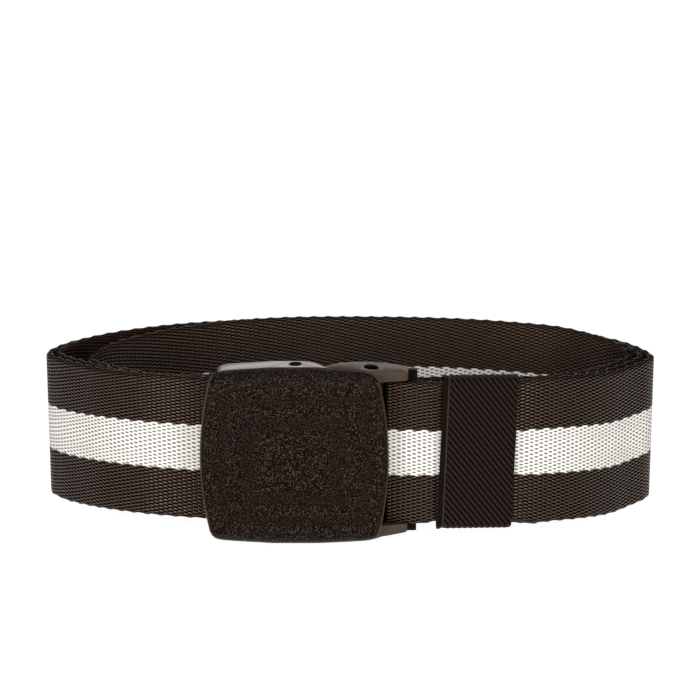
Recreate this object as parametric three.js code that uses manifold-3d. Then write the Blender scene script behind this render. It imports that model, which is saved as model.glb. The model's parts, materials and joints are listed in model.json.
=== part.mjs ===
// Webbing belt with a flip-cover plastic buckle, coiled three times round and standing on its edge.
// Millimetres, +Z up, +X to the right of the buckle, +Y from the buckle to the back of the coil.
// The buckle hangs lower than the webbing, so the belt stands on the buckle and on the back of the coil.
import * as THREE from 'three';
import * as BufferGeometryUtils from 'three/addons/utils/BufferGeometryUtils.js';
import Module from 'manifold-3d';

const wasm = await Module();
wasm.setup();

// Webbing: nominal 38 mm strap, laid in three turns.
const web = { width: 38, thick: 1.8, edge: 0.7, pinch: 0.035, stepsPerRow: 3, turns: 3 };

// Buckle: a barrel outline 45.8 mm tall at its middle, shared by the cover and the cheeks. A short
// flat at its lowest point lets it stand.
const buckle = { half: 22.9, barrelX: -13, barrelRadius: 205, flat: 7 };
const drop = buckle.half - web.width / 2;
const slot = { half: web.width / 2 + 0.4, lipHalf: web.width / 2 - 0.2 };

// Hinge of the cover, between the two cheeks.
const hinge = {
  x: 4.9, y: 0.2, pin: 1.5, hole: 1.8, recess: 0.8, lug: 3, lugInner: 15.6, lugOuter: 18.3,
};

// Cover: a shallow dished plate with rolled edges and two side flanges.
const cover = {
  x: -13.8, halfWidth: 23.05, sideRadius: 87, corner: 3,
  front: -7.1, crown: 0.7, roll: 4, sideRoll: 1.2, plateBack: -4.1, back: 2.1,
};

// Cam bar that the cover presses on the webbing, held in its flanges.
const pressBar = {
  x: -13.5, y: 0, journal: 1.3, hole: 1.6, recess: 0.9, cam: 3, camOffset: 1.1, clear: 0.5,
};

// Frame: two lens-shaped cheeks joined behind the webbing by a flat plate.
const cheek = { arc: 3.3, inset: 0.15, lipBack: 0, back: 4.3 };
const backPlate = { left: -33, right: 13.4, front: 6.6, back: 8.4, half: 18.9 };
const bridge = { left: -3, right: 9, front: 2, half: 21, backHalf: 20.3 };

// Clamp that holds the fixed end of the webbing.
const clamp = { left: 9.2, headLeft: 14.3, right: 16.2, front: 2.45, back: 4.05, over: 2.2, sag: 0.7 };

// Elastic keeper round the two outer layers, slightly askew. Its back half follows the sunk layer.
const keeper = {
  x: 31, width: 18.4, wall: 1.4, edgeWall: 0.9, clear: 0.2, front: -0.15, back: 5.5,
  stepFrom: 1.8, stepTo: 2.3, corner: 1.2, lean: 0.033, turn: 0.035,
};

// One turn of the coil, seen from above: the outer face of the outermost layer, how far inside
// it the outer face of each of the three turns lies, and how many steps the inner turns have sunk.
const coil = [
  { x: 8.6, y: 0.3, first: 0, second: 4.1, third: 8.8, sink: 2 },
  { x: 17, y: 0.1, first: 0, second: 4.26, third: 8.8, sink: 2 },
  { x: 24.5, y: 0.1, first: 0, second: 2.3, third: 7.7, sink: 2 },
  { x: 33, y: 0.4, first: 0, second: 2.2, third: 7.2, sink: 2 },
  { x: 41.5, y: 0.9, first: 0, second: 2.2, third: 6.8, sink: 2 },
  { x: 49.3, y: 3.4, first: 0, second: 2.2, third: 5.4, sink: 1.75 },
  { x: 57.6, y: 8.1, first: 0, second: 2.2, third: 4.6, sink: 1.35 },
  { x: 65.1, y: 14.6, first: 0, second: 2.2, third: 4.4, sink: 1.1 },
  { x: 70.9, y: 20.8, first: 0, second: 2.3, third: 4.6, sink: 1 },
  { x: 75.2, y: 25.4, first: 0, second: 2.5, third: 5, sink: 1 },
  { x: 76.7, y: 28.8, first: 0, second: 2.6, third: 5.2, sink: 1 },
  { x: 75.3, y: 33, first: 0, second: 2.4, third: 4.9, sink: 1 },
  { x: 70.8, y: 39.3, first: 0, second: 2.2, third: 4.4, sink: 1 },
  { x: 63.9, y: 44.7, first: 0, second: 2.2, third: 4.4, sink: 1 },
  { x: 55.6, y: 49.8, first: 0, second: 2.2, third: 4.4, sink: 1 },
  { x: 45, y: 53.3, first: 0, second: 2.2, third: 4.4, sink: 1 },
  { x: 31, y: 56.3, first: 0, second: 2.2, third: 4.4, sink: 1 },
  { x: 15.5, y: 57.9, first: 0, second: 2.2, third: 4.4, sink: 1 },
  { x: -1, y: 58.4, first: 0, second: 2.2, third: 4.4, sink: 1 },
  { x: -17, y: 57.8, first: 0, second: 2.2, third: 4.4, sink: 1 },
  { x: -32, y: 56.2, first: 0, second: 2.2, third: 5.6, sink: 1 },
  { x: -46, y: 53.2, first: 0, second: 2.2, third: 8, sink: 1 },
  { x: -57.5, y: 48.9, first: 0, second: 2.2, third: 10.2, sink: 1 },
  { x: -66.4, y: 44.3, first: 0, second: 2.2, third: 11.8, sink: 1 },
  { x: -71.8, y: 40.3, first: 0, second: 2.2, third: 12.5, sink: 1 },
  { x: -76.3, y: 34.6, first: 0, second: 2.3, third: 12, sink: 1 },
  { x: -77.3, y: 30.8, first: 0, second: 2.4, third: 11, sink: 1 },
  { x: -74.6, y: 26.4, first: 0, second: 2.3, third: 8, sink: 1 },
  { x: -68.6, y: 20, first: 0, second: 2.2, third: 4.4, sink: 1 },
  { x: -61.5, y: 13.2, first: 0, second: 2.2, third: 4.5, sink: 1.1 },
  { x: -53.1, y: 8.1, first: 0, second: 2.7, third: 5.1, sink: 1.5 },
  { x: -45, y: 5.4, first: 0, second: 3.8, third: 6.3, sink: 1.85 },
  { x: -36, y: 3.7, first: 0, second: 5.4, third: 7.9, sink: 2 },
  { x: -26, y: 3.4, first: 1, second: 5.6, third: 8, sink: 2 },
  { x: -14, y: 2.4, first: 2, second: 6.6, third: 9, sink: 2 },
  { x: -3, y: 1, first: 3.4, second: 8, third: 10.4, sink: 2 },
];
const tailRows = 35;

// At the left end the third turn leaves the others and bends back to them in a tight curve. These
// are the middles of its thickness there, from the row named on.
const innerBend = { from: 24, points: [[-62.6, 30.6], [-64.6, 27.7], [-65.5, 26], [-65.6, 24.9]] };

// The front is held up by the buckle, and the strap comes down to the floor towards the sides,
// on the right a little nearer the front. Inner turns sit lower than the outer ones at the front,
// and higher at the back.
const lift = {
  frontY: 1, floorY: 25.5, sideways: 0.035, frontStep: -0.75, riseY: 24, backY: 50, backStep: 0.92,
};

// Rows, counted along the whole strap, between which it sinks after leaving the buckle.
const settle = { from: 35.5, to: 37.6 };
const columns = ['first', 'second', 'third'];

function solidFrom(geometry) {
  const bare = geometry.clone();
  bare.deleteAttribute('normal');
  bare.deleteAttribute('uv');
  const merged = BufferGeometryUtils.mergeVertices(bare, 1e-4);
  const vertProperties = new Float32Array(merged.attributes.position.array);
  const triVerts = new Uint32Array(merged.index.array);
  return new wasm.Manifold(new wasm.Mesh({ numProp: 3, vertProperties, triVerts }));
}

function geometryFrom(solid) {
  const mesh = solid.getMesh();
  const geometry = new THREE.BufferGeometry();
  geometry.setAttribute('position', new THREE.BufferAttribute(new Float32Array(mesh.vertProperties), 3));
  geometry.setIndex(new THREE.BufferAttribute(new Uint32Array(mesh.triVerts), 1));
  return geometry;
}

// Box between two corners.
function box(x0, y0, z0, x1, y1, z1) {
  const geometry = new THREE.BoxGeometry(x1 - x0, y1 - y0, z1 - z0);
  geometry.translate((x0 + x1) / 2, (y0 + y1) / 2, (z0 + z1) / 2);
  return solidFrom(geometry);
}

// Outline in plan, raised from z0 to z1.
function upright(shape, z0, z1, curveSegments = 8) {
  const geometry = new THREE.ExtrudeGeometry(shape, { depth: z1 - z0, bevelEnabled: false, curveSegments });
  geometry.translate(0, 0, z0);
  return solidFrom(geometry);
}

// Outline drawn in x and z as seen from the front, reaching from y0 back to y1.
function frontal(shape, y0, y1, curveSegments = 8) {
  const geometry = new THREE.ExtrudeGeometry(shape, { depth: y1 - y0, bevelEnabled: false, curveSegments });
  geometry.rotateX(Math.PI / 2);
  geometry.translate(0, y1, 0);
  return solidFrom(geometry);
}

// Outline drawn in y and in height from the middle of the buckle, reaching from x0 to x1.
function sideways(shape, x0, x1) {
  const geometry = new THREE.ExtrudeGeometry(shape, { depth: x1 - x0, bevelEnabled: false });
  const turn = new THREE.Matrix4().set(0, 0, 1, x0, 1, 0, 0, 0, 0, 1, 0, buckle.half, 0, 0, 0, 1);
  geometry.applyMatrix4(turn);
  return solidFrom(geometry);
}

// Upright round bar or hole.
function round(x, y, radius, z0, z1, sides = 20) {
  const geometry = new THREE.CylinderGeometry(radius, radius, z1 - z0, sides);
  geometry.rotateX(Math.PI / 2);
  geometry.translate(x, y, (z0 + z1) / 2);
  return solidFrom(geometry);
}

function polygon(points) {
  return new THREE.Shape(points.map(([x, y]) => new THREE.Vector2(x, y)));
}

// Half the height of the barrel outline at x.
function barrelHalf(x) {
  const dx = Math.abs(x - buckle.barrelX) < buckle.flat ? 0 : x - buckle.barrelX;
  return buckle.half - buckle.barrelRadius + Math.sqrt(buckle.barrelRadius ** 2 - dx * dx);
}

// Barrel outline from x0 to x1.
function barrelShape(x0, x1, inset, steps) {
  const top = [];
  for (let i = 0; i <= steps; i += 1) {
    const x = x0 + ((x1 - x0) * i) / steps;
    top.push([x, barrelHalf(x) - inset]);
  }
  const upper = top.map(([x, half]) => [x, buckle.half + half]);
  const lower = top.map(([x, half]) => [x, buckle.half - half]).reverse();
  return polygon([...upper, ...lower]);
}

// Height of the lower edge of the webbing at a row of the coil, sunk by a number of steps.
function webbingLift({ x, y }, level) {
  const down = THREE.MathUtils.smoothstep(y + lift.sideways * x, lift.frontY, lift.floorY);
  const back = THREE.MathUtils.smoothstep(y, lift.riseY, lift.backY);
  return (drop + lift.frontStep * level) * (1 - down) + lift.backStep * level * back;
}

// One inward spiral with a point at every row of every turn: the middle of the strap's thickness
// in plan, at the height of its lower edge.
function spiralPoints() {
  const corners = coil.map(({ x, y }) => new THREE.Vector3(x, y, 0));
  const outer = new THREE.CatmullRomCurve3(corners, true, 'centripetal');
  return columns.flatMap((column, turn) => coil.map((row, i) => {
    const along = outer.getTangent(i / coil.length);
    const inward = new THREE.Vector3(-along.y, along.x, 0);
    const bent = column === 'third' && innerBend.points[i - innerBend.from];
    const middle = bent
      ? new THREE.Vector3(...bent, 0)
      : corners[i].clone().addScaledVector(inward, row[column] + web.thick / 2);
    const settled = THREE.MathUtils.smoothstep(turn * coil.length + i, settle.from, settle.to);
    return middle.setZ(webbingLift(row, settled * (turn - 1 + row.sink)));
  }));
}

// How much the keeper pinches the strap inside it, from 0 outside to 1 within.
function pinchAt(place) {
  const beyond = Math.abs(place.x - keeper.x) - keeper.width / 2;
  const inside = place.y < keeper.back ? 1 : 0;
  return inside * (1 - THREE.MathUtils.smoothstep(beyond, 0.5, 5));
}

// Stations of the strap: place, inward direction and pinch.
function webbingStations() {
  const count = (web.turns - 1) * coil.length + tailRows;
  const path = new THREE.CatmullRomCurve3(spiralPoints().slice(0, count), false, 'centripetal');
  const total = (count - 1) * web.stepsPerRow;
  const stations = [];
  for (let i = 0; i <= total; i += 1) {
    const place = path.getPoint(i / total);
    const along = path.getTangent(i / total);
    const inward = new THREE.Vector3(-along.y, along.x, 0).normalize();
    stations.push({ place, inward, pinch: pinchAt(place) });
  }
  return stations;
}

// Strap section with bevelled edges, swept along the coil and closed at both cut ends.
function webbingGeometry() {
  const stations = webbingStations();
  const half = web.thick / 2;
  const section = [
    [-half, web.edge], [-half, web.width - web.edge], [-half / 2, web.width],
    [half / 2, web.width], [half, web.width - web.edge], [half, web.edge], [half / 2, 0], [-half / 2, 0],
  ];
  const positions = [];
  stations.forEach(({ place, inward, pinch }) => {
    section.forEach(([across, up]) => {
      const point = place.clone().addScaledVector(inward, across);
      const squeezed = THREE.MathUtils.lerp(up, web.width / 2, pinch * web.pinch);
      positions.push(point.x, point.y, Math.max(place.z, 0) + squeezed);
    });
  });
  const sides = section.length;
  const index = [];
  for (let i = 0; i + 1 < stations.length; i += 1) {
    for (let j = 0; j < sides; j += 1) {
      const a = i * sides + j;
      const b = i * sides + ((j + 1) % sides);
      index.push(a, a + sides, b, b, a + sides, b + sides);
    }
  }
  const last = (stations.length - 1) * sides;
  for (let j = 1; j + 1 < sides; j += 1) {
    index.push(0, j, j + 1);
    index.push(last, last + j + 1, last + j);
  }
  const geometry = new THREE.BufferGeometry();
  geometry.setAttribute('position', new THREE.Float32BufferAttribute(positions, 3));
  geometry.setIndex(index);
  return geometry;
}

// Half width of the cover at a distance from its mid height.
function coverHalfWidth(up) {
  return cover.halfWidth - cover.sideRadius + Math.sqrt(cover.sideRadius ** 2 - up * up);
}

// Front outline of the cover: barrel above and below, bowed sides, round corners.
function coverOutline() {
  let cornerX = cover.halfWidth;
  for (let i = 0; i < 6; i += 1) {
    cornerX = coverHalfWidth(barrelHalf(cover.x + cornerX));
  }
  const rightUp = barrelHalf(cover.x + cornerX);
  const leftUp = barrelHalf(cover.x - cornerX);
  const points = [];
  const along = (steps, at) => {
    for (let i = 0; i < steps; i += 1) {
      points.push(at(i / steps));
    }
  };
  const edgeRun = cornerX - cover.corner;
  const top = (t) => {
    const x = cover.x - edgeRun + 2 * edgeRun * t;
    return [x, barrelHalf(x)];
  };
  const right = (t) => {
    const up = (rightUp - cover.corner) * (1 - 2 * t);
    return [cover.x + coverHalfWidth(up), up];
  };
  const left = (t) => {
    const up = (leftUp - cover.corner) * (2 * t - 1);
    return [cover.x - coverHalfWidth(up), up];
  };
  const bottom = (t) => {
    const [x, up] = top(1 - t);
    return [x, -up];
  };
  const bend = (from, corner, to) => (t) => [0, 1].map(
    (k) => (1 - t) ** 2 * from[k] + 2 * t * (1 - t) * corner[k] + t * t * to[k],
  );
  along(12, top);
  along(4, bend(top(1), [cover.x + cornerX, rightUp], right(0)));
  along(10, right);
  along(4, bend(right(1), [cover.x + cornerX, -rightUp], bottom(0)));
  along(12, bottom);
  along(4, bend(bottom(1), [cover.x - cornerX, -leftUp], left(0)));
  along(10, left);
  along(4, bend(left(1), [cover.x - cornerX, leftUp], top(0)));
  return points;
}

// Solid between rings of equal point count, with a middle point closing each end.
function loft(rings) {
  const count = rings[0].length;
  const positions = rings.flat(2);
  const index = [];
  for (let i = 0; i + 1 < rings.length; i += 1) {
    for (let j = 0; j < count; j += 1) {
      const a = i * count + j;
      const b = i * count + ((j + 1) % count);
      index.push(a, a + count, b, b, a + count, b + count);
    }
  }
  const middle = (ring) => [0, 1, 2].map((k) => ring.reduce((sum, p) => sum + p[k], 0) / count);
  const firstMiddle = positions.length / 3;
  positions.push(...middle(rings[0]), ...middle(rings[rings.length - 1]));
  const lastRing = (rings.length - 1) * count;
  for (let j = 0; j < count; j += 1) {
    const next = (j + 1) % count;
    index.push(firstMiddle, j, next);
    index.push(firstMiddle + 1, lastRing + next, lastRing + j);
  }
  const geometry = new THREE.BufferGeometry();
  geometry.setAttribute('position', new THREE.Float32BufferAttribute(positions, 3));
  geometry.setIndex(index);
  return solidFrom(geometry);
}

// Outside of the cover: rolled at its rim, softly crowned at its face.
function coverBlock() {
  const outline = coverOutline();
  const count = outline.length;
  const faceY = cover.front + cover.crown;
  const normals = outline.map((_, j) => {
    const [ax, az] = outline[(j + count - 1) % count];
    const [bx, bz] = outline[(j + 1) % count];
    const size = Math.hypot(bx - ax, bz - az);
    return [-(bz - az) / size, (bx - ax) / size];
  });
  const rimRing = (angle) => outline.map(([x, up], j) => {
    const [nx, nz] = normals[j];
    const roll = cover.sideRoll * nx * nx + cover.roll * nz * nz;
    const inset = roll * (1 - Math.cos(angle));
    const y = faceY + roll * (1 - Math.sin(angle));
    return [x - nx * inset, y, buckle.half + up - nz * inset];
  });
  const faceRing = (scale) => rimRing(Math.PI / 2).map(([x, y, z]) => [
    cover.x + (x - cover.x) * scale,
    cover.front + cover.crown * scale * scale,
    buckle.half + (z - buckle.half) * scale,
  ]);
  const backRing = outline.map(([x, up]) => [x, cover.back + 1, buckle.half + up]);
  const rimSteps = [0, 0.25, 0.5, 0.75, 1];
  const rims = rimSteps.map((t) => rimRing((t * Math.PI) / 2));
  return loft([backRing, ...rims, faceRing(0.7), faceRing(0.35)]);
}

// Plan of the cover: its plate, and a flange that ends in a notch beside the cheek.
const coverPlan = [
  [-40, -9], [12, -9], [12, -4.6], [5.4, -4.6], [4.6, -3.75], [2, -3.1], [-4, -2.6], [-6.7, -2],
  [-6.9, -1.2], [-8.6, 0.6], [-10, 1.6], [-12, cover.back], [-30, cover.back], [-31.6, 1.6],
  [-32.4, 0.5], [-32.7, -1], [-33.4, -2.2], [-36, -3.4], [-40, -4.6],
];

// Plan of the wedge cut from behind the cover's right rim, which thins towards its edge.
const rimBevel = [[7, cover.plateBack], [10, -5.65], [10, -3], [7, -3]];

// Plan of a lug: a round eye on the hinge and an arm from the plate.
function lugShape() {
  const shape = new THREE.Shape();
  shape.moveTo(hinge.x + 1, cover.plateBack - 0.8);
  shape.lineTo(hinge.x + 1, hinge.y - 2);
  shape.absarc(hinge.x, hinge.y, hinge.lug, -1.2, Math.PI, false);
  shape.lineTo(hinge.x - hinge.lug, cover.plateBack - 0.8);
  return shape;
}

function coverGeometry() {
  const full = 2 * buckle.half;
  const inner = box(
    -45, cover.plateBack, buckle.half - slot.half, 20, cover.back + 2, buckle.half + slot.half,
  );
  let solid = coverBlock().intersect(upright(polygon(coverPlan), -1, full + 1)).subtract(inner);
  solid = solid.subtract(upright(polygon(rimBevel), -1, full + 1));
  [-1, 1].forEach((side) => {
    const z0 = buckle.half + (side > 0 ? hinge.lugInner : -hinge.lugOuter);
    solid = solid.add(upright(lugShape(), z0, z0 + hinge.lugOuter - hinge.lugInner, 12));
  });
  solid = solid.subtract(round(hinge.x, hinge.y, hinge.hole, 2, full - 2));
  solid = solid.subtract(round(pressBar.x, pressBar.y, pressBar.hole, -1, full + 1));
  return geometryFrom(solid);
}

// Plan of a cheek: a lens with a round front at the hinge.
function cheekPlan() {
  const front = [];
  for (let i = 0; i <= 6; i += 1) {
    const angle = THREE.MathUtils.degToRad(-130 + (i * 90) / 6);
    front.push([hinge.x + cheek.arc * Math.cos(angle), hinge.y + cheek.arc * Math.sin(angle)]);
  }
  return polygon([
    [-6.4, -1.5], ...front, [9.6, -1.6], [13.2, -0.8], [13.9, -0.2], [13.9, 2.6], [13.2, 3.6],
    [11.5, cheek.back], [4.9, cheek.back], [0.7, 3.3], [-2.5, 1.9], [-4.6, 0.6], [-6.4, -1.1],
  ]);
}

function frameGeometry() {
  const full = 2 * buckle.half;
  const mid = buckle.half;
  const barrel = frontal(barrelShape(-8, 15, cheek.inset, 10), -6, 8);
  const lens = upright(cheekPlan(), -1, full + 1).intersect(barrel);
  const gap = box(-10, -8, mid - slot.half, 20, backPlate.front, mid + slot.half);
  const lipGap = box(-10, -8, mid - slot.lipHalf, 20, cheek.lipBack, mid + slot.lipHalf);
  const lips = lens.intersect(box(-10, -8, 0, 20, cheek.lipBack, full)).subtract(lipGap);
  let solid = lens;
  [-1, 1].forEach((side) => {
    const section = polygon([
      [bridge.front, side * slot.lipHalf], [bridge.front, side * bridge.half],
      [cheek.back, side * bridge.half], [backPlate.back, side * bridge.backHalf],
      [backPlate.back, side * slot.lipHalf],
    ]);
    solid = solid.add(sideways(section, bridge.left, bridge.right));
  });
  solid = solid.subtract(gap).add(lips);
  const { left, right, front, back, half } = backPlate;
  const plate = box(left, front, mid - half, right, back, mid + half);
  const hoop = box(bridge.left, front, mid - bridge.backHalf, bridge.right, back, mid + bridge.backHalf);
  solid = solid.add(plate).add(hoop);
  solid = solid.subtract(round(hinge.x, hinge.y, hinge.hole, -1, full + 1));
  return geometryFrom(solid);
}

function hingePinGeometry() {
  const reach = barrelHalf(hinge.x) - cheek.inset - hinge.recess;
  return geometryFrom(round(hinge.x, hinge.y, hinge.pin, buckle.half - reach, buckle.half + reach, 16));
}

// Bar with a round journal at each end and a thicker cam between the flanges.
function pressBarGeometry() {
  const mid = buckle.half;
  const reach = barrelHalf(pressBar.x) - pressBar.recess;
  const camReach = slot.half - pressBar.clear;
  const camY = pressBar.y + pressBar.camOffset;
  const journal = round(pressBar.x, pressBar.y, pressBar.journal, mid - reach, mid + reach, 16);
  const cam = round(pressBar.x, camY, pressBar.cam, mid - camReach, mid + camReach, 24);
  return geometryFrom(journal.add(cam));
}

// Clamp plate behind the fixed end of the strap, with a taller head past the cheeks.
function clampGeometry() {
  const mid = buckle.half;
  const half = web.width / 2;
  const head = half + clamp.over;
  const low = mid - clamp.sag;
  const plate = box(clamp.left, clamp.front, mid - half, clamp.right, clamp.back, mid + half);
  const bar = box(clamp.headLeft, clamp.front, low - head, clamp.right, clamp.back, low + head);
  return geometryFrom(plate.add(bar));
}

// Adds a curved corner to a shape, from its last point round a corner to an end.
function bendTo(shape, corner, end) {
  shape.quadraticCurveTo(corner[0], corner[1], end[0], end[1]);
}

// Section of the keeper, stepped down behind the outer layer: depth and height from the middle.
function keeperSection() {
  const { wall, edgeWall, front, back, stepFrom, stepTo, corner } = keeper;
  const inner = (web.width / 2) * (1 - web.pinch) + keeper.clear;
  const outer = inner + edgeWall;
  const sunk = -2 * lift.frontStep;
  const outFront = front - wall;
  const outBack = back + wall;
  const shape = new THREE.Shape();
  shape.moveTo(outFront, corner - outer);
  bendTo(shape, [outFront, -outer], [outFront + corner, -outer]);
  shape.lineTo(stepFrom - edgeWall, -outer);
  shape.lineTo(stepTo - edgeWall / 2, -outer - sunk);
  shape.lineTo(outBack - corner, -outer - sunk);
  bendTo(shape, [outBack, -outer - sunk], [outBack, corner - outer - sunk]);
  shape.lineTo(outBack, outer - sunk - corner);
  bendTo(shape, [outBack, outer - sunk], [outBack - corner, outer - sunk]);
  shape.lineTo(stepTo + 2 * edgeWall, outer - sunk);
  shape.lineTo(stepFrom - edgeWall / 2, outer);
  shape.lineTo(outFront + corner, outer);
  bendTo(shape, [outFront, outer], [outFront, outer - corner]);
  const hole = new THREE.Path();
  hole.moveTo(front, -inner);
  hole.lineTo(stepFrom, -inner);
  hole.lineTo(stepTo, -inner - sunk);
  hole.lineTo(back, -inner - sunk);
  hole.lineTo(back, inner - sunk);
  hole.lineTo(stepTo + edgeWall, inner - sunk);
  hole.lineTo(stepFrom + edgeWall / 2, inner);
  hole.lineTo(front, inner);
  shape.holes.push(hole);
  return shape;
}

// Elastic loop: its section swept along the strap, leaning with its top to the right.
function keeperGeometry() {
  const geometry = new THREE.ExtrudeGeometry(keeperSection(), {
    depth: keeper.width, bevelEnabled: false, curveSegments: 3,
  });
  const position = geometry.attributes.position;
  for (let i = 0; i < position.count; i += 1) {
    const across = position.getX(i);
    const up = position.getY(i);
    const along = position.getZ(i) - keeper.width / 2;
    const x = keeper.x + along + up * keeper.lean;
    position.setXYZ(i, x, across + along * keeper.turn, buckle.half + up);
  }
  return geometryFrom(solidFrom(geometry));
}

const finishes = {
  webbing: { color: 0x1c1613, roughness: 0.6, metalness: 0 },
  cover: { color: 0x1b1614, roughness: 0.65, metalness: 0 },
  plastic: { color: 0x1d1a19, roughness: 0.4, metalness: 0 },
  bar: { color: 0x0c0b0b, roughness: 0.45, metalness: 0 },
  elastic: { color: 0x15110f, roughness: 0.8, metalness: 0 },
};

const belt = new THREE.Group();

function addPiece(name, geometry, finish) {
  const mesh = new THREE.Mesh(geometry, new THREE.MeshStandardMaterial(finishes[finish]));
  mesh.name = name;
  belt.add(mesh);
}

addPiece('webbing', webbingGeometry(), 'webbing');
addPiece('buckle_frame', frameGeometry(), 'plastic');
addPiece('buckle_cover', coverGeometry(), 'cover');
addPiece('hinge_pin', hingePinGeometry(), 'bar');
addPiece('press_bar', pressBarGeometry(), 'bar');
addPiece('end_clamp', clampGeometry(), 'plastic');
addPiece('keeper', keeperGeometry(), 'elastic');

// The belt's origin is the middle of its footprint, on the floor.
const bounds = new THREE.Box3().setFromObject(belt);
const middle = bounds.getCenter(new THREE.Vector3());
belt.children.forEach((piece) => piece.geometry.translate(-middle.x, -middle.y, -bounds.min.z));

export default belt;
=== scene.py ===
# Coiled webbing belt with a flip-cover buckle and an elastic keeper.
# Sizes in the dictionaries are in millimetres, and the scene is in metres.
import json
import math
from functools import partial

import bmesh
import bpy
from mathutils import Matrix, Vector
from mathutils.geometry import interpolate_bezier


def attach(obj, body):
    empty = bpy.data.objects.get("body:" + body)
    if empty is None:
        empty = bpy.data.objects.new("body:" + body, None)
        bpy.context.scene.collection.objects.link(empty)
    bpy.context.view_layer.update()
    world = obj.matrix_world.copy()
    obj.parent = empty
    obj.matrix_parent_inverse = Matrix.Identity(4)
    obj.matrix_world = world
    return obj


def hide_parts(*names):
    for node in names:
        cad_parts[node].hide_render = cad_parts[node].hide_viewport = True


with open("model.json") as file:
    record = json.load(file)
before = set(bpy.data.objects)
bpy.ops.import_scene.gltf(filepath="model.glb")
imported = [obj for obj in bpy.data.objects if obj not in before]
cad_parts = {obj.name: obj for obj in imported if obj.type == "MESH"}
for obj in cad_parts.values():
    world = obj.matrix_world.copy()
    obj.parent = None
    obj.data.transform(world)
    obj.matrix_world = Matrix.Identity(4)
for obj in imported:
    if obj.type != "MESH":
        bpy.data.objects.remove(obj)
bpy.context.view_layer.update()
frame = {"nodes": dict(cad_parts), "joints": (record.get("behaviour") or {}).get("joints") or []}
mm = 0.001

# The belt is drawn in plan from the middle of the buckle, and its hinge ties that plan to the frame.
hingeInPlan = Vector((4.9, 0.2, 0.0))
hingeInFrame = Vector((*frame["joints"][0]["pos_m"][:2], 0.0)) / mm
planOrigin = hingeInFrame - hingeInPlan
buckleMiddle = frame["joints"][0]["pos_m"][2] / mm


def linearColour(hexColour):  # sRGB hex to linear
    channels = [int(hexColour[i:i + 2], 16) / 255 for i in (1, 3, 5)]
    return [c / 12.92 if c < 0.04045 else ((c + 0.055) / 1.055) ** 2.4 for c in channels] + [1.0]


def newMaterial(name, **sockets):
    material = bpy.data.materials.new(name)
    material.use_nodes = True
    shader = material.node_tree.nodes["Principled BSDF"]
    for socket, value in sockets.items():
        shader.inputs[socket.replace("_", " ")].default_value = value
    return material, shader


def addNode(material, kind, inputs=None, **settings):  # inputs are values or another node's sockets
    node = material.node_tree.nodes.new("ShaderNode" + kind)
    for name, value in settings.items():
        setattr(node, name, value)
    for socket, value in (inputs or {}).items():
        if isinstance(value, bpy.types.NodeSocket):
            material.node_tree.links.new(value, node.inputs[socket])
        else:
            node.inputs[socket].default_value = value
    return node


def addMaths(material, operation, a, b=0.0, c=0.0):
    return addNode(material, "Math", {0: a, 1: b, 2: c}, operation=operation).outputs[0]


def addRamp(material, value, low, high, interpolation="LINEAR"):  # 0 at low and 1 at high
    inputs = {"Value": value, "From Min": low, "From Max": high}
    return addNode(material, "MapRange", inputs, interpolation_type=interpolation).outputs[0]


def addNoise(material, vector, scale, detail):
    return addNode(material, "TexNoise", {"Vector": vector, "Scale": scale, "Detail": detail}).outputs["Fac"]


def addMix(material, amount, first, second, blend="MIX"):
    inputs = {0: amount, 6: first, 7: second}
    return addNode(material, "Mix", inputs, data_type="RGBA", blend_type=blend).outputs[2]


def dress(material, shader, colour, height, strength, depth):  # colour, and relief of a depth in millimetres
    bump = addNode(material, "Bump", {"Height": height, "Strength": strength, "Distance": depth * mm})
    material.node_tree.links.new(colour, shader.inputs["Base Color"])
    material.node_tree.links.new(bump.outputs[0], shader.inputs["Normal"])


def addPiece(name, bm, material, body, replaced):
    mesh = bpy.data.meshes.new(name)
    bm.to_mesh(mesh)
    bm.free()
    mesh.materials.append(material)
    piece = bpy.data.objects.new(name, mesh)
    bpy.context.scene.collection.objects.link(piece)
    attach(piece, body)
    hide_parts(replaced)
    return piece


def smooth(value, low, high):
    t = min(max((value - low) / (high - low), 0.0), 1.0)
    return t * t * (3 - 2 * t)


def mixed(a, b, t):
    return a + (b - a) * t


# Camera at the photograph's angle. The far clip is in metres.
cameraSettings = {
    "distance": 666.0, "height": 281.3, "aside": -0.25, "lookDown": 19.2, "lens": 149.66, "clipEnd": 10.0,
}


def makeCamera():
    s = cameraSettings
    data = bpy.data.cameras.new("camera")
    data.lens = s["lens"]
    data.clip_end = s["clipEnd"]
    camera = bpy.data.objects.new("camera", data)
    camera.location = (planOrigin + Vector((s["aside"], -s["distance"], s["height"]))) * mm
    camera.rotation_euler = (math.radians(90 - s["lookDown"]), 0, 0)
    bpy.context.scene.collection.objects.link(camera)
    bpy.context.scene.camera = camera


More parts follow.
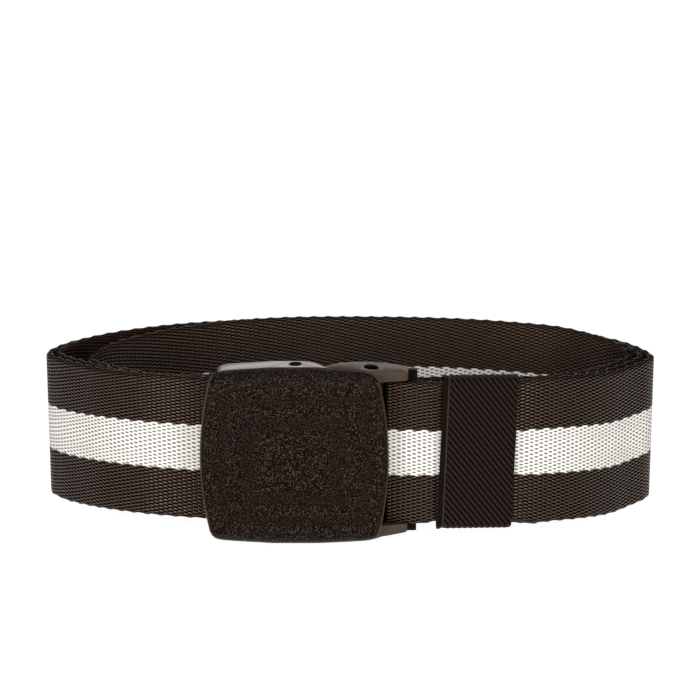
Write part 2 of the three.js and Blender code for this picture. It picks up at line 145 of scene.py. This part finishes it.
# Webbing: one strap in three turns, resting on the buckle and on the back of the coil.
strap = {
    "width": 38.0, "thickness": 1.8, "edge": 0.8, "drop": 3.9, "turns": 3, "spareRows": 1,
    "frontY": -0.5, "floorY": 24.0, "sideways": 0.06, "frontStep": -0.75,    # lift at the front
    "riseY": 24.0, "backY": 50.0, "backStep": 1.08,    # and at the back
    "settleFrom": 35.5, "settleTo": 37.6,    # rows of the coil over which the second turn sinks
    "pinch": 0.035, "pinchFade": (0.5, 5.0),    # narrower in the keeper, and how far beyond its ends
    "curl": 0.9, "curlX": (15, 26), "curlY": (10, 26), "curlFrom": 26,    # upper edge, left of the keeper
    "selvage": 0.3, "selvageReach": 1.6, "selvageWaves": (0.5, 0.38, 0.12), "selvagePhase": 1.0,
    "selvageThin": 0.5, "proud": 0.15, "proudLow": 0.45,
    "edgeRows": (1.5, 2.6), "faceRows": (5.5, 9.5, 13.2, 17, 21, 24.8, 28.5, 32.5), "edgeCuts": 6,    # mesh
    "stepsPerColumn": 2, "pointsPerRow": 16, "mergeDistance": 0.01,
    "column": 1.25, "row": 0.925, "slant": 3,    # weave: pitch along and across, columns in a slanting rank
    "lean": 0.09, "gapLength": 0.45, "gapHeight": 0.25, "gapSoft": (1.5, 0.4),    # gaps, in columns and rows
    # floats: their crowns are painted lighter and their edges darker, as painted shading
    "endDip": 0.4, "raised": (0.12, 1.0), "relief": 0.22,    # floats
    "stripeFrom": 14.3, "stripeTo": 26.45, "stripeSoft": 0.12,    # edges of the white threads, in rows
    "stripeWave": 0.19,
    # colours of floats and gaps; the two gap colours are painted shade
    "float": "#30241c", "gap": "#0a0402", "whiteFloat": "#eceae4", "whiteGapShade": "#7d786f",
    "uneven": 0.55, "unevenFrom": 0.7, "unevenGain": 0.6,    # patches of dye a millimetre, and their tone
    "roughness": 0.26, "gloss": 0.55, "stripeDuller": 0.3, "selvageGloss": 0.22, "glossInset": 1.0,
    "tint": (1.0, 0.74, 0.56, 1.0),
}
# Plan of one turn: x and y of the outer layer, the insets of the three turns, and how far they have sunk.
coilRows = [
    (8.6, 0.3, 0, 4.1, 8.8, 2), (17, 0.1, 0, 4.26, 8.8, 2), (24.5, 0.1, 0, 2.3, 7.7, 2),
    (33, 0.4, 0, 2.2, 7.2, 2), (41.5, 0.9, 0, 2.2, 6.8, 2), (49.3, 3.4, 0, 2.2, 5.4, 1.75),
    (57.6, 8.1, 0, 2.2, 4.6, 1.35), (65.1, 14.6, 0, 2.2, 4.4, 1.1), (70.9, 20.8, 0, 2.3, 4.6, 1),
    (75.2, 25.4, 0, 2.5, 5, 1), (76.7, 28.8, 0, 2.6, 5.2, 1), (75.3, 33, 0, 2.4, 4.9, 1),
    (70.8, 39.3, 0, 2.2, 4.4, 1), (63.9, 44.7, 0, 2.2, 4.4, 1), (55.6, 49.8, 0, 2.2, 4.4, 1),
    (45, 53.3, 0, 2.2, 4.4, 1), (31, 56.3, 0, 2.2, 4.4, 1), (15.5, 57.9, 0, 2.2, 4.4, 1),
    (-1, 58.4, 0, 2.2, 4.4, 1), (-17, 57.8, 0, 2.2, 4.4, 1), (-32, 56.2, 0, 2.2, 5.6, 1),
    (-46, 53.2, 0, 2.2, 8, 1), (-57.5, 48.9, 0, 2.2, 10.2, 1), (-66.4, 44.3, 0, 2.2, 11.8, 1),
    (-71.8, 40.3, 0, 2.2, 12.5, 1), (-76.3, 34.6, 0, 2.3, 12, 1), (-77.3, 30.8, 0, 2.4, 11, 1),
    (-74.6, 26.4, 0, 2.3, 8, 1), (-68.6, 20, 0, 2.2, 4.4, 1), (-61.5, 13.2, 0, 2.2, 4.5, 1.1),
    (-53.1, 8.1, 0, 2.7, 5.1, 1.5), (-45, 5.4, 0, 3.8, 6.3, 1.85), (-36, 3.7, 0, 5.4, 7.9, 2),
    (-26, 3.4, 1, 5.6, 8, 2), (-14, 2.4, 2, 6.6, 9, 2), (-3, 1, 3.4, 8, 10.4, 2),
]
# Middles of the last turn at its bend on the left, in place of the rows from this one on.
innerBend = {"turn": 2, "from": 24, "points": [(-62.6, 30.6), (-64.6, 27.7), (-65.5, 26), (-65.6, 24.9)]}


def slopeAt(before, point, after):  # tangent of a centripetal spline
    into, out = (point - before).length ** 0.5, (after - point).length ** 0.5
    return (point - before) / into - (after - before) / (into + out) + (after - point) / out


def strapLift(row, level):  # height of the lower edge at a row of the coil, sunk by a number of steps
    down = smooth(row.y + strap["sideways"] * row.x, strap["frontY"], strap["floorY"])
    rise = smooth(row.y, strap["riseY"], strap["backY"])
    return (strap["drop"] + strap["frontStep"] * level) * (1 - down) + strap["backStep"] * level * rise


def spiralKnots():  # middle of the strap's thickness at every row of every turn, at its lower edge
    corners = [Vector((x, y, 0.0)) for x, y, *_ in coilRows]
    count = len(corners)
    bent = dict(enumerate(innerBend["points"], innerBend["from"]))
    knots = []
    for turn in range(strap["turns"]):
        for i, corner in enumerate(corners):
            slope = slopeAt(corners[i - 1], corner, corners[(i + 1) % count]).normalized()
            inward = Vector((-slope.y, slope.x, 0.0))
            inset, sink = coilRows[i][2 + turn], coilRows[i][5]
            level = smooth(turn * count + i, strap["settleFrom"], strap["settleTo"]) * (turn - 1 + sink)
            spot = corner + inward * (inset + strap["thickness"] / 2)
            if turn == innerBend["turn"] and i in bent:
                spot = Vector((*bent[i], 0.0))
            spot.z = strapLift(corner, level)
            knots.append(spot)
    return knots[:len(knots) - strap["spareRows"]]


def strapLine():  # points along the coil
    points = spiralKnots()
    points = [2 * points[0] - points[1], *points, 2 * points[-1] - points[-2]]
    line = []
    for p0, p1, p2, p3 in zip(points, points[1:], points[2:], points[3:]):
        reach = (p2 - p1).length ** 0.5 / 3
        leaving, arriving = p1 + slopeAt(p0, p1, p2) * reach, p2 - slopeAt(p1, p2, p3) * reach
        span = interpolate_bezier(p1, leaving, arriving, p2, strap["pointsPerRow"] + 1)
        line += span[1:] if line else span
    return line


def evenly(line, wantedStep):  # the same line, resampled in equal steps
    lengths = [0.0]
    for a, b in zip(line, line[1:]):
        lengths.append(lengths[-1] + (b - a).length)
    count = round(lengths[-1] / wantedStep)
    step = lengths[-1] / count
    stations, k = [], 0
    for i in range(count + 1):
        while k < len(line) - 2 and lengths[k + 1] < i * step:
            k += 1
        share = (i * step - lengths[k]) / (lengths[k + 1] - lengths[k])
        stations.append(line[k].lerp(line[k + 1], share))
    return stations, step


def strapStations():  # place of the lower edge, inward direction and pinch at every step along the strap
    places, step = evenly(strapLine(), strap["column"] / strap["stepsPerColumn"])
    made = []
    for i, place in enumerate(places):
        ahead = places[min(i + 1, len(places) - 1)] - places[max(i - 1, 0)]
        inward = Vector((-ahead.y, ahead.x, 0.0)).normalized()
        beyond = abs(place.x - keeper["x"]) - keeper["width"] / 2
        held = place.y < keeper["back"]
        pinch = (1 - smooth(beyond, *strap["pinchFade"])) * strap["pinch"] if held else 0.0
        made.append((place, inward, pinch))
    return made, step


def strapSection():  # loop of (across, up): bottom edge, outer face, top edge, inner face
    half, edge, width = strap["thickness"] / 2, strap["edge"], strap["width"]
    low = [edge, *strap["edgeRows"]]
    face = [*low, *strap["faceRows"], *[width - up for up in reversed(low)]]
    arc = [math.pi * k / strap["edgeCuts"] for k in range(1, strap["edgeCuts"])]
    top = [(-half * math.cos(a), width - edge + edge * math.sin(a)) for a in arc]
    bottom = [(half * math.cos(a), edge - edge * math.sin(a)) for a in arc]
    outer, inner = [(-half, up) for up in face], [(half, up) for up in reversed(face)]
    return [*bottom[2:], *outer, *top, *inner, *bottom[:3]]


def weaveHeight(across, up):  # distance across the weave, carried on round the strap's edges
    over = strap["thickness"] / 2 - abs(across)
    return up + over if up > strap["width"] / 2 else up - over


def selvageDip(along, up):  # how far an edge draws in between the turns of the weft
    middle = strap["width"] / 2
    fromEdge = middle - abs(up - middle)
    phase = 2 * math.pi * along / (strap["column"] * strap["slant"])
    steady, first, second = strap["selvageWaves"]
    dip = steady + first * math.sin(phase) + second * math.sin(2 * phase + strap["selvagePhase"])
    return dip * strap["selvage"] * (1 - smooth(fromEdge, 0.0, strap["selvageReach"]))


def curlDown(spot, up):  # how far the upper edge curls down on the front run
    beside = (1 - smooth(spot.x, *strap["curlX"])) * (1 - smooth(spot.y, *strap["curlY"]))
    return strap["curl"] * beside * smooth(up, strap["curlFrom"], strap["width"])


def buildStrap(material):
    stations, step = strapStations()
    section = strapSection()
    columns, rows = len(stations) - 1, len(section) - 1
    middle = strap["width"] / 2
    bm = bmesh.new()
    bmesh.ops.create_grid(bm, x_segments=columns, y_segments=rows, size=0.5)
    weave = bm.loops.layers.uv.new("weave")
    place = {v: (round((v.co.x + 0.5) * columns), round((v.co.y + 0.5) * rows)) for v in bm.verts}
    for face in bm.faces:
        face.smooth = True
        for loop in face.loops:
            i, j = place[loop.vert]
            loop[weave].uv = (i * step, weaveHeight(*section[j]))
    for vert, (i, j) in place.items():
        spot, inward, pinch = stations[i]
        across, up = section[j]
        dip = selvageDip(i * step, up)
        up += dip - strap["proudLow"] if up < middle else strap["proud"] - dip - curlDown(spot, up)
        across *= 1 - strap["selvageThin"] * dip
        placed = planOrigin + spot + inward * across
        placed.z = max(placed.z + mixed(up, middle, pinch), 0.0)
        vert.co = placed * mm
    bmesh.ops.remove_doubles(bm, verts=bm.verts, dist=strap["mergeDistance"] * mm)
    bmesh.ops.holes_fill(bm, edges=[e for e in bm.edges if e.is_boundary], sides=0)
    bmesh.ops.recalc_face_normals(bm, faces=bm.faces)
    piece = addPiece("woven_webbing", bm, material, "belt", "webbing")


# The weave's colour paints shade in the gaps and on the floats' edges, and light on the floats' crowns.
def wovenNylon():  # solution-dyed nylon: rounded floats with a soft gloss, and deep gaps where a thread dives
    s = strap
    material, shader = newMaterial("woven nylon webbing", Roughness=s["roughness"], Specular_Tint=s["tint"])
    maths, mix = partial(addMaths, material), partial(addMix, material)
    ramp = partial(addRamp, material, interpolation="SMOOTHSTEP")
    uv = addNode(material, "UVMap", uv_map="weave").outputs["UV"]
    u, v = addNode(material, "SeparateXYZ", {0: uv}).outputs[:2]

    # Place within one float, from -0.5 to 0.5 along and across
    along, row = maths("DIVIDE", u, s["column"]), maths("DIVIDE", v, s["row"])
    inColumn = maths("SUBTRACT", maths("FRACT", along), 0.5)
    shift = maths("DIVIDE", maths("FLOORED_MODULO", maths("FLOOR", along), s["slant"]), s["slant"])
    leaning = maths("MULTIPLY_ADD", inColumn, s["lean"], maths("SUBTRACT", row, shift))
    inRow = maths("SUBTRACT", maths("FRACT", leaning), 0.5)

    # Oval gap in the middle of that place, painted in shade, and the rounded backs of the floats round it,
    # painted lighter on their crowns and darker at their edges
    reach = maths("ADD", maths("POWER", maths("ABSOLUTE", maths("DIVIDE", inColumn, s["gapLength"])), 2.0),
                  maths("POWER", maths("ABSOLUTE", maths("DIVIDE", inRow, s["gapHeight"])), 2.0))
    gap = ramp(reach, *s["gapSoft"])
    crown = maths("SINE", maths("MULTIPLY", maths("ABSOLUTE", inRow), math.pi))
    ends = maths("POWER", maths("ABSOLUTE", maths("MULTIPLY", inColumn, 2.0)), 3.0)
    relief = maths("MULTIPLY", maths("SUBTRACT", 1.0, gap), maths("MULTIPLY_ADD", ends, -s["endDip"], crown))
    # painted shading of the floats: lighter crowns, darker edges
    raised = ramp(relief, *s["raised"])

    # White stripe, whose edges step with the slanting ranks
    wave = maths("COSINE", maths("MULTIPLY", along, 2 * math.pi / s["slant"]))
    edge = maths("MULTIPLY_ADD", wave, s["stripeWave"] / s["row"], row)
    low, high, soft = s["stripeFrom"], s["stripeTo"], s["stripeSoft"]
    stripe = maths("MULTIPLY", ramp(edge, low - soft, low + soft), ramp(edge, high + soft, high - soft))

    # Black threads, whose dye took a little unevenly, and white ones; the gaps of both carry painted shade,
    # and the black floats carry painted light on their crowns and painted shade at their edges
    light = maths("MULTIPLY_ADD", addNoise(material, uv, s["uneven"], 3.0), s["unevenGain"], s["unevenFrom"])
    dark = mix(raised, linearColour(s["gap"]), linearColour(s["float"]))
    pale = mix(gap, linearColour(s["whiteFloat"]), linearColour(s["whiteGapShade"]))
    both = mix(stripe, mix(1.0, dark, light, blend="MULTIPLY"), pale)

    # Gloss on the backs of the floats, and less of it at the selvages
    inset, least = s["glossInset"], s["selvageGloss"]
    onFace = maths("MULTIPLY", ramp(v, 0.0, inset), ramp(v, s["width"], s["width"] - inset))
    shown = maths("MULTIPLY", raised, maths("MULTIPLY_ADD", onFace, 1 - least, least))
    gloss = maths("MULTIPLY", shown, maths("MULTIPLY_ADD", stripe, -s["stripeDuller"], s["gloss"]))
    material.node_tree.links.new(gloss, shader.inputs["Specular IOR Level"])
    dress(material, shader, both, relief, 1.0, s["relief"])
    return material


# Keeper: a loop of ribbed elastic round the two outer layers, with a rolled hem at its left end.
keeper = {
    "x": 31.0, "width": 18.4, "front": -0.15, "back": 5.5, "wall": 1.4, "edgeWall": 0.9, "clear": 0.2,
    "stepFrom": 1.8, "stepTo": 2.3, "corner": 1.2, "stepCorner": 0.5, "lean": 0.033, "turn": 0.035,
    "stepAlong": 0.2, "stepAround": 0.3, "cornerCuts": 4, "seam": (0.3, 0.6),    # shares of the way round
    "ribPitch": 1.1, "ribAngle": 38.8, "ribHeight": 0.2, "ribsFrom": (-0.2, 0.1), "ribsTo": (0.2, 0.5),
    "bead": 0.58, "beadDepth": 0.95,    # stitches along each rib
    "hem": 1.9, "hemHeight": 0.3, "hemMiddle": 0.5, "hemHalf": 0.62,
    # the hem's tone is painted shade, and the fold's tone is a painted highlight on its folded line
    "hemSoft": 0.3, "hemShade": 0.12, "fold": 1.45, "foldSoft": (0.22, 0.1), "foldHighlight": 0.7,
    # rib colour is the painted light on the crowns, groove colour is painted shade
    "rib": "#3b302b", "grooveShade": "#020000",
    "fine": 3.0, "fineFrom": 0.55, "fineGain": 0.9,    # specks of thread a millimetre, and their tone
    "relief": 0.2, "bump": 0.8, "roughness": 0.5, "gloss": 0.03, "tint": (1.0, 0.75, 0.55, 1.0),
}


def keeperCorners():  # outer section of the keeper, as depth and height from the buckle's middle
    k = keeper
    outer = strap["width"] / 2 * (1 - strap["pinch"]) + k["clear"] + k["edgeWall"]
    sunk = -2 * strap["frontStep"]  # the second layer lies two steps lower
    front, back = k["front"] - k["wall"], k["back"] + k["wall"]
    big = [(front, -outer), (back, -outer - sunk), (back, outer - sunk), (front, outer)]
    steps = {
        0: [(k["stepFrom"] - k["edgeWall"], -outer), (k["stepTo"] - k["edgeWall"] / 2, -outer - sunk)],
        2: [(k["stepTo"] + 2 * k["edgeWall"], outer - sunk), (k["stepFrom"] - k["edgeWall"] / 2, outer)],
    }
    loop = []
    for i, corner in enumerate(big):
        loop.append((corner, k["corner"]))
        loop += [(step, k["stepCorner"]) for step in steps.get(i, [])]
    return loop


def keeperLoop(bm):  # closed wire of the section, in equal small steps
    corners = keeperCorners()
    verts = [bm.verts.new((0, depth, up)) for (depth, up), _ in corners]
    bm.faces.new(verts)
    for radius in (keeper["corner"], keeper["stepCorner"]):
        chosen = [v for v, (_, r) in zip(verts, corners) if r == radius]
        bmesh.ops.bevel(bm, geom=chosen, offset=radius, offset_type="OFFSET", profile=0.5,
                        segments=keeper["cornerCuts"], affect="VERTICES", material=-1)
    bmesh.ops.delete(bm, geom=bm.faces[:], context="FACES_ONLY")
    for edge in bm.edges[:]:
        cuts = int(edge.calc_length() / keeper["stepAround"])
        if cuts:
            bmesh.ops.subdivide_edges(bm, edges=[edge], cuts=cuts)
    return bm.edges[:]


def keeperRelief(along, around):  # ribs of the elastic, and the rolled hem at its left end
    k = keeper
    hem = k["hemHeight"] * math.sqrt(max(0.0, 1 - ((along - k["hemMiddle"]) / k["hemHalf"]) ** 2))
    angle = math.radians(k["ribAngle"])
    phase = (along * math.cos(angle) + around * math.sin(angle)) / k["ribPitch"]
    rib = k["ribHeight"] * abs(math.cos(math.pi * phase))
    within = smooth(along - k["hem"], *k["ribsFrom"]) * smooth(k["width"] - along, *k["ribsTo"])
    return hem + rib * within


def buildKeeper(material):
    k = keeper
    bm = bmesh.new()
    ring = keeperLoop(bm)
    around = bm.verts.layers.float.new("around")
    alongside = bm.verts.layers.float.new("along")
    start = max(bm.verts, key=lambda v: (v.co.y, v.co.z))
    previous, vert, total = None, start, 0.0
    while True:  # measure round the loop
        vert[around] = total
        onward = [e.other_vert(vert) for e in vert.link_edges if e.other_vert(vert) is not previous]
        following = onward[0] if previous or onward[0].co.z < vert.co.z else onward[1]
        total += (following.co - vert.co).length
        previous, vert = vert, following
        if vert is start:
            break
    steps = round(k["width"] / k["stepAlong"])
    for _ in range(steps):
        made = bmesh.ops.extrude_edge_only(bm, edges=ring)["geom"]
        ring = [e for e in made if isinstance(e, bmesh.types.BMEdge)]
        moved = [v for v in made if isinstance(v, bmesh.types.BMVert)]
        bmesh.ops.translate(bm, verts=moved, vec=(k["width"] / steps, 0, 0))
    bmesh.ops.recalc_face_normals(bm, faces=bm.faces)
    middle = Vector((k["width"] / 2, (k["front"] + k["back"]) / 2, 0))
    if sum((f.calc_center_median() - middle).dot(f.normal) for f in bm.faces) < 0:
        bmesh.ops.reverse_faces(bm, faces=bm.faces)
    bm.normal_update()
    outward = {v: Vector((0, v.normal.y, v.normal.z)).normalized() for v in bm.verts}
    for vert, direction in outward.items():
        vert.co += direction * keeperRelief(vert.co.x, vert[around])
    for vert in bm.verts:
        vert[alongside] = vert.co.x
        along, depth, up = vert.co.x - k["width"] / 2, vert.co.y, vert.co.z
        place = Vector((k["x"] + along + up * k["lean"], depth + along * k["turn"], buckleMiddle + up))
        vert.co = (planOrigin + place) * mm
    ribs = bm.loops.layers.uv.new("ribs")
    early, late = [share * total for share in k["seam"]]
    for face in bm.faces:  # the strip that closes the loop carries its pattern on past the start
        face.smooth = True
        last = max(loop.vert[around] for loop in face.loops) > late
        for loop in face.loops:
            v = loop.vert[around]
            loop[ribs].uv = (loop.vert[alongside], v + total if last and v < early else v)
    piece = addPiece("ribbed_keeper", bm, material, "belt", "keeper")
    wall = piece.modifiers.new("wall", "SOLIDIFY")
    wall.thickness = k["edgeWall"] * mm
    wall.offset = -1
    print(f"keeper: {total:.1f} mm round")


# The elastic's colour paints light on the rib crowns and stitches, and shade in the grooves.
def ribbedElastic():  # covered rubber threads: dull black ribs of small stitches over deep grooves
    k = keeper
    material, shader = newMaterial(
        "ribbed elastic", Roughness=k["roughness"], Specular_IOR_Level=k["gloss"], Specular_Tint=k["tint"])
    maths, ramp = partial(addMaths, material), partial(addRamp, material)
    uv = addNode(material, "UVMap", uv_map="ribs").outputs["UV"]
    u, v = addNode(material, "SeparateXYZ", {0: uv}).outputs[:2]

    # Ribs, and the small stitches along each of them; their tone is painted light on the crowns and stitches
    # and painted shade in the grooves
    angle = math.radians(k["ribAngle"])
    crossing = maths("ADD", maths("MULTIPLY", u, math.cos(angle) / k["ribPitch"]),
                     maths("MULTIPLY", v, math.sin(angle) / k["ribPitch"]))
    running = maths("SUBTRACT", maths("MULTIPLY", v, math.cos(angle) / k["bead"]),
                    maths("MULTIPLY", u, math.sin(angle) / k["bead"]))
    waves = [maths("ABSOLUTE", maths("COSINE", maths("MULTIPLY", n, math.pi))) for n in (crossing, running)]
    crown, bead = [maths("POWER", wave, 2.0) for wave in waves]
    stitched = maths("MULTIPLY", crown, maths("MULTIPLY_ADD", bead, k["beadDepth"], 1 - k["beadDepth"]))
    fine = addNoise(material, uv, k["fine"], 2.0)
    raised = maths("MULTIPLY", stitched, maths("MULTIPLY_ADD", fine, k["fineGain"], k["fineFrom"]))

    # Plain hem, painted dark as shade, with one folded line painted lighter as a highlight
    inRibs = ramp(u, k["hem"] - k["hemSoft"], k["hem"])
    fold = ramp(maths("ABSOLUTE", maths("SUBTRACT", u, k["fold"])), *k["foldSoft"])
    hem = maths("MULTIPLY_ADD", fold, k["foldHighlight"], k["hemShade"])
    tone = maths("ADD", maths("MULTIPLY", raised, inRibs),
                 maths("MULTIPLY", maths("SUBTRACT", 1.0, inRibs), hem))
    colour = addMix(material, tone, linearColour(k["grooveShade"]), linearColour(k["rib"]))
    dress(material, shader, colour, raised, k["bump"], k["relief"])
    return material


# Moulded buckle pieces keep the frame's shapes, with their sharp edges eased.
moulded = {
    "mergeDistance": 0.001, "flatAngle": 0.5, "edge": 0.18, "edgeAngle": 40, "edgeCuts": 2,
    # the flanges' level top faces get a lighter acetal, painted light on their tops
    "topSlope": 0.8, "topDepth": -3.0,    # the flanges' level faces, behind the grained plate
    "topFrom": -32.0,    # where the bright band starts, past the plate's corner
    # the side edges are painted lighter, a painted highlight along the rim
    "sideSlope": 0.6,    # the plate's two side edges, without grain
    # the bore's wall is painted dark as shade
    "boreReach": 1.95, "wallSlope": 0.3,    # the dark bore round the hinge pin
    "headX": 14.3, "headSpan": 0.1, "headReach": 0.4,    # the clamp's head closes up to the cheeks
}


def coverFinish(middle, normal):  # 0 on the grained plate, 1 on the bright flanges, 2 on the side edges
    s = moulded
    # side edges take a lighter acetal as a painted highlight
    if abs(normal.x) > s["sideSlope"] and middle.y < s["topDepth"]:
        return 2
    # level top faces take a lighter acetal as painted top light
    return int(abs(normal.z) > s["topSlope"] and middle.y > s["topDepth"] and middle.x > s["topFrom"])


# the bore's wall takes the darkest acetal as painted shade
def frameFinish(middle, normal):  # 1 on the wall of the bore
    inBore = (middle.xy - hingeInPlan.xy).length < moulded["boreReach"]
    return int(inBore and abs(normal.z) < moulded["wallSlope"])


def buildMoulded(node, name, materials, body, finishAt=None):  # finishAt picks one of the materials
    s = moulded
    bm = bmesh.new()
    bm.from_mesh(frame["nodes"][node].data)
    bmesh.ops.remove_doubles(bm, verts=bm.verts, dist=s["mergeDistance"] * mm)
    bmesh.ops.dissolve_limit(bm, angle_limit=math.radians(s["flatAngle"]), verts=bm.verts, edges=bm.edges)
    if node == "end_clamp":
        for vert in bm.verts:
            if abs(vert.co.x / mm - planOrigin.x - s["headX"]) < s["headSpan"]:
                vert.co.x -= s["headReach"] * mm
    for face in bm.faces:
        face.smooth = True
        if finishAt:
            face.material_index = finishAt(face.calc_center_median() / mm - planOrigin, face.normal)
    piece = addPiece(name, bm, materials[0], body, node)
    for extra in materials[1:]:
        piece.data.materials.append(extra)
    eased = piece.modifiers.new("eased edges", "BEVEL")
    eased.width = s["edge"] * mm
    eased.segments = s["edgeCuts"]
    eased.limit_method = "ANGLE"
    eased.angle_limit = math.radians(s["edgeAngle"])
    eased.harden_normals = True


# Grained acetal. Its grain has this many cells a millimetre, drawn a little coarser than the real one. Its
# tones paint glints on the grain's peaks and shade in its pits.
grained = {
    "cells": 3.5, "tones": (0.54, 0.84), "pitShade": "#090402", "peakGlint": "#493f39",
    "relief": 0.2, "bump": 0.5, "roughness": 0.4, "gloss": 0.05, "tint": (1.0, 0.75, 0.55, 1.0),
}


def grainedCover():  # acetal from a spark-eroded mould: fine even grain that glitters in the light
    s = grained
    material, shader = newMaterial(
        "grained acetal", Roughness=s["roughness"], Specular_IOR_Level=s["gloss"], Specular_Tint=s["tint"])
    position = addNode(material, "TexCoord").outputs["Object"]
    grain = addNoise(material, position, s["cells"] / mm, 0.0)
    # lighter peaks are painted glints, darker pits painted shade
    tone = addRamp(material, grain, *s["tones"])
    colour = addMix(material, tone, linearColour(s["pitShade"]), linearColour(s["peakGlint"]))
    dress(material, shader, colour, grain, s["bump"], s["relief"])
    return material


# Smooth acetal: flow marks a millimetre, and the colour, roughness and gloss of each finish.
smoothed = {
    "marks": 0.3, "lighter": 1.4, "relief": 0.05, "bump": 0.3, "tint": (1.0, 0.9, 0.82, 1.0),
    "finishes": {
        # satin acetal is the frame's own colour, and a painted highlight on the cover's side edges
        "satin acetal": ("#3a2f27", 0.4, 0.1),
        # bar acetal is the bars' own colour, and painted shade on the bore's wall
        "bar acetal": ("#0a0604", 0.45, 0.04),
        # lighter colour for the flanges' top faces, painted top light
        "bright acetal": ("#483b32", 0.3, 1.0),
    },
}


def satinPlastic(name):  # acetal from a smooth mould, with faint flow marks
    s = smoothed
    hexColour, roughness, gloss = s["finishes"][name]
    material, shader = newMaterial(
        name, Roughness=roughness, Specular_IOR_Level=gloss, Specular_Tint=s["tint"])
    position = addNode(material, "TexCoord").outputs["Object"]
    flow = addNoise(material, position, s["marks"] / mm, 4.0)
    dark = linearColour(hexColour)
    colour = addMix(material, flow, dark, [c * s["lighter"] for c in dark])
    dress(material, shader, colour, flow, s["bump"], s["relief"])
    return material


# Stage: a pale lit table and soft studio lights, in metres.
studio = {
    "floor": 9.0, "floorGlow": 0.965, "floorTone": 0.1, "floorRoughness": 0.9, "floorGloss": 0.1,
    "world": 0.03, "target": (0.0, 0.0, 0.03),
    "lights": {  # name: place, size, watts
        "left": ((-0.55, -0.88, 0.22), 0.3, 5.2),
        "right": ((0.5, -0.9, 0.22), 0.3, 5.2),
        "front": ((0.0, -0.85, 0.85), 0.4, 6.0),
        "top": ((0.0, 0.1, 1.1), 0.4, 3.0),
        "back": ((0.0, 0.8, 0.35), 0.5, 1.5),
    },
}


def makeStudio():
    white = (1, 1, 1, 1)
    world = bpy.data.worlds.new("studio")
    world.use_nodes = True
    background = world.node_tree.nodes["Background"]
    background.inputs["Color"].default_value = white
    background.inputs["Strength"].default_value = studio["world"]
    bpy.context.scene.world = world
    bm = bmesh.new()
    bmesh.ops.create_grid(bm, x_segments=1, y_segments=1, size=studio["floor"] / 2)
    mesh = bpy.data.meshes.new("floor")
    bm.to_mesh(mesh)
    bm.free()
    material, _ = newMaterial(
        "lit table", Roughness=studio["floorRoughness"], Specular_IOR_Level=studio["floorGloss"],
        Base_Color=(*[studio["floorTone"]] * 3, 1),
        Emission_Color=white, Emission_Strength=studio["floorGlow"])
    mesh.materials.append(material)
    floor = bpy.data.objects.new("floor", mesh)
    bpy.context.scene.collection.objects.link(floor)
    for name, (place, size, watts) in studio["lights"].items():
        data = bpy.data.lights.new(name, "AREA")
        data.size = size
        data.energy = watts
        light = bpy.data.objects.new(name, data)
        light.location = place
        aim = Vector(studio["target"]) - Vector(place)
        light.rotation_euler = aim.to_track_quat("-Z", "Y").to_euler()
        bpy.context.scene.collection.objects.link(light)


makeCamera()
makeStudio()
bpy.context.scene.view_settings.view_transform = "Standard"
print("camera, floor and lights are in place")

buildStrap(wovenNylon())
buildKeeper(ribbedElastic())
satinAndEdgeHighlight, barAndBoreShade, toplit = [satinPlastic(name) for name in smoothed["finishes"]]
buildMoulded("buckle_cover", "grained_cover", [grainedCover(), toplit, satinAndEdgeHighlight], "cover", coverFinish)
buildMoulded("buckle_frame", "hinge_frame", [satinAndEdgeHighlight, barAndBoreShade], "belt", frameFinish)
buildMoulded("end_clamp", "clamp_bar", [barAndBoreShade], "belt")
buildMoulded("hinge_pin", "hinge_bar", [barAndBoreShade], "belt")
buildMoulded("press_bar", "cam_bar", [barAndBoreShade], "cover")
print("webbing, keeper and buckle are made")
